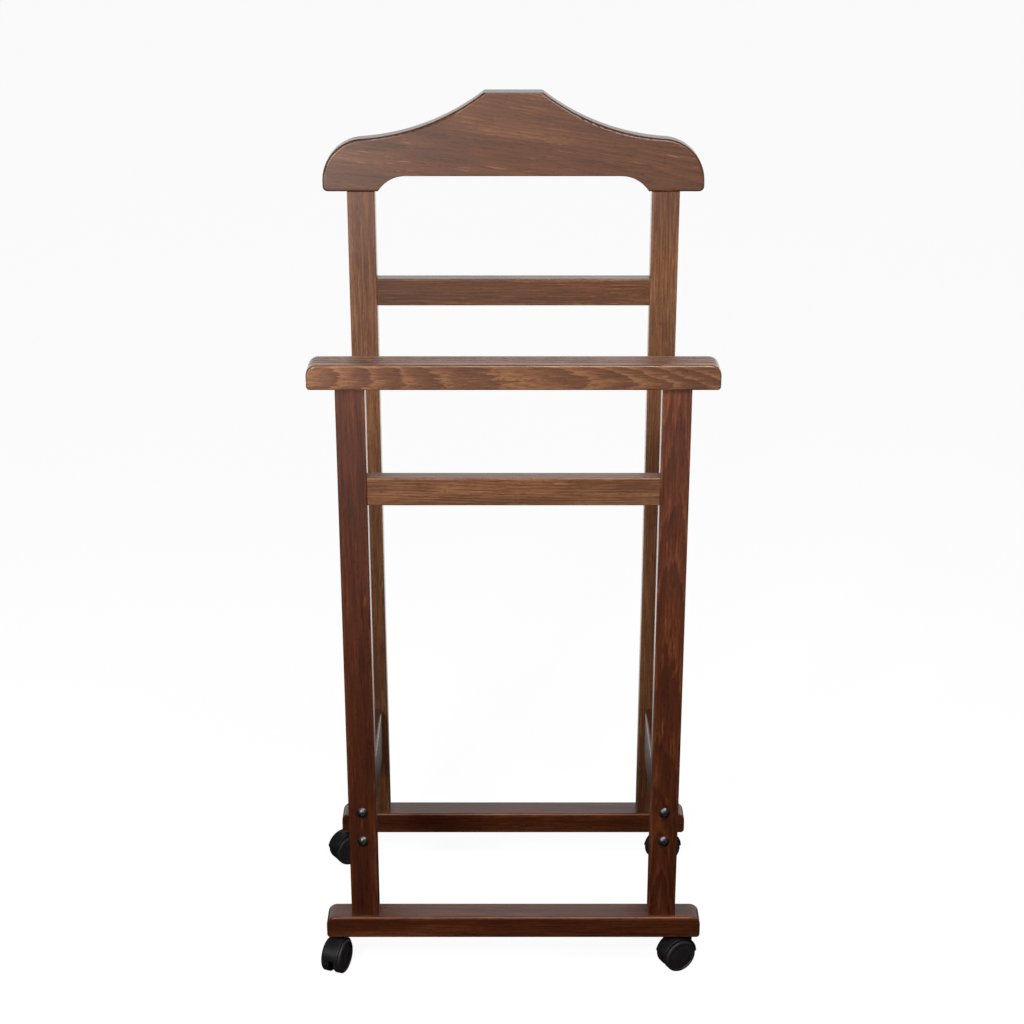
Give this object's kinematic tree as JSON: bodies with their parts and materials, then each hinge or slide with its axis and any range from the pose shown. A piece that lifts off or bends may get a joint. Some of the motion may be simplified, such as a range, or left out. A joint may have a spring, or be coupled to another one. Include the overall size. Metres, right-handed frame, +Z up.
{
  "type": "valet stand",
  "caption": "Free-standing wooden valet stand on swivel casters: shaped jacket hanger on the tall rear frame, grooved trouser bar on the front frame.",
  "frame": {"origin": "on the floor, under the middle of the footprint's bounding box, casters included; the two frames' own middle is 10 mm to the right of it and 10 mm behind it, because the casters trail to the front and left", "axes": "+Z up; +X to the right and +Y to the back for someone facing the trouser bar"},
  "size_m": [0.4603, 0.2933, 0.998],
  "materials": {
    "stained_beech": "walnut stain under satin varnish",
    "plain_beech": "unfinished",
    "bronzed_steel": "dark bronze plating",
    "zinc_plated_steel": "bright zinc plating",
    "black_nylon": "satin moulded"
  },
  "bodies": {
    "stand": {"front_foot_bar": "stained_beech", "rear_foot_bar": "stained_beech", "front_leg_left": "stained_beech", "front_leg_right": "stained_beech", "rear_leg_left": "stained_beech", "rear_leg_right": "stained_beech", "front_rail": "stained_beech", "rear_rail": "stained_beech", "trouser_bar": "stained_beech", "hanger_board": "stained_beech", "side_board_left": "stained_beech", "side_board_right": "stained_beech", "foot_dowels": "plain_beech", "rail_dowels": "plain_beech", "top_dowels": "plain_beech", "front_bolts": "bronzed_steel", "rear_bolts": "bronzed_steel", "barrel_nuts": "zinc_plated_steel", "caster_sleeves": "black_nylon"},
    "caster_front_left": {"caster_hood_front_left": "black_nylon", "caster_stem_front_left": "zinc_plated_steel", "caster_axle_front_left": "zinc_plated_steel"},
    "wheel_a_front_left": {"caster_wheel_a_front_left": "black_nylon"},
    "wheel_b_front_left": {"caster_wheel_b_front_left": "black_nylon"},
    "caster_front_right": {"caster_hood_front_right": "black_nylon", "caster_stem_front_right": "zinc_plated_steel", "caster_axle_front_right": "zinc_plated_steel"},
    "wheel_a_front_right": {"caster_wheel_a_front_right": "black_nylon"},
    "wheel_b_front_right": {"caster_wheel_b_front_right": "black_nylon"},
    "caster_rear_left": {"caster_hood_rear_left": "black_nylon", "caster_stem_rear_left": "zinc_plated_steel", "caster_axle_rear_left": "zinc_plated_steel"},
    "wheel_a_rear_left": {"caster_wheel_a_rear_left": "black_nylon"},
    "wheel_b_rear_left": {"caster_wheel_b_rear_left": "black_nylon"},
    "caster_rear_right": {"caster_hood_rear_right": "black_nylon", "caster_stem_rear_right": "zinc_plated_steel", "caster_axle_rear_right": "zinc_plated_steel"},
    "wheel_a_rear_right": {"caster_wheel_a_rear_right": "black_nylon"},
    "wheel_b_rear_right": {"caster_wheel_b_rear_right": "black_nylon"}
  },
  "joints": [
    {"name": "swivel_front_left", "type": "hinge", "parent": "stand", "child": "caster_front_left", "pos_m": [-0.1954, -0.1105, 0.046], "axis": [0, 0, 1], "continuous": true},
    {"name": "roll_a_front_left", "type": "hinge", "parent": "caster_front_left", "child": "wheel_a_front_left", "pos_m": [-0.19985, -0.12272, 0.02], "axis": [0.9397, -0.342, 0], "continuous": true},
    {"name": "roll_b_front_left", "type": "hinge", "parent": "caster_front_left", "child": "wheel_b_front_left", "pos_m": [-0.19985, -0.12272, 0.02], "axis": [0.9397, -0.342, 0], "continuous": true},
    {"name": "swivel_front_right", "type": "hinge", "parent": "stand", "child": "caster_front_right", "pos_m": [0.2154, -0.1105, 0.046], "axis": [0, 0, 1], "continuous": true},
    {"name": "roll_a_front_right", "type": "hinge", "parent": "caster_front_right", "child": "wheel_a_front_right", "pos_m": [0.20392, -0.1166, 0.02], "axis": [0.4695, -0.8829, 0], "continuous": true},
    {"name": "roll_b_front_right", "type": "hinge", "parent": "caster_front_right", "child": "wheel_b_front_right", "pos_m": [0.20392, -0.1166, 0.02], "axis": [0.4695, -0.8829, 0], "continuous": true},
    {"name": "swivel_rear_left", "type": "hinge", "parent": "stand", "child": "caster_rear_left", "pos_m": [-0.1954, 0.1305, 0.046], "axis": [0, 0, 1], "continuous": true},
    {"name": "roll_a_rear_left", "type": "hinge", "parent": "caster_rear_left", "child": "wheel_a_rear_left", "pos_m": [-0.20618, 0.12323, 0.02], "axis": [0.5592, -0.829, 0], "continuous": true},
    {"name": "roll_b_rear_left", "type": "hinge", "parent": "caster_rear_left", "child": "wheel_b_rear_left", "pos_m": [-0.20618, 0.12323, 0.02], "axis": [0.5592, -0.829, 0], "continuous": true},
    {"name": "swivel_rear_right", "type": "hinge", "parent": "stand", "child": "caster_rear_right", "pos_m": [0.2154, 0.1305, 0.046], "axis": [0, 0, 1], "continuous": true},
    {"name": "roll_a_rear_right", "type": "hinge", "parent": "caster_rear_right", "child": "wheel_a_rear_right", "pos_m": [0.20392, 0.1244, 0.02], "axis": [0.4695, -0.8829, 0], "continuous": true},
    {"name": "roll_b_rear_right", "type": "hinge", "parent": "caster_rear_right", "child": "wheel_b_rear_right", "pos_m": [0.20392, 0.1244, 0.02], "axis": [0.4695, -0.8829, 0], "continuous": true}
  ]
}
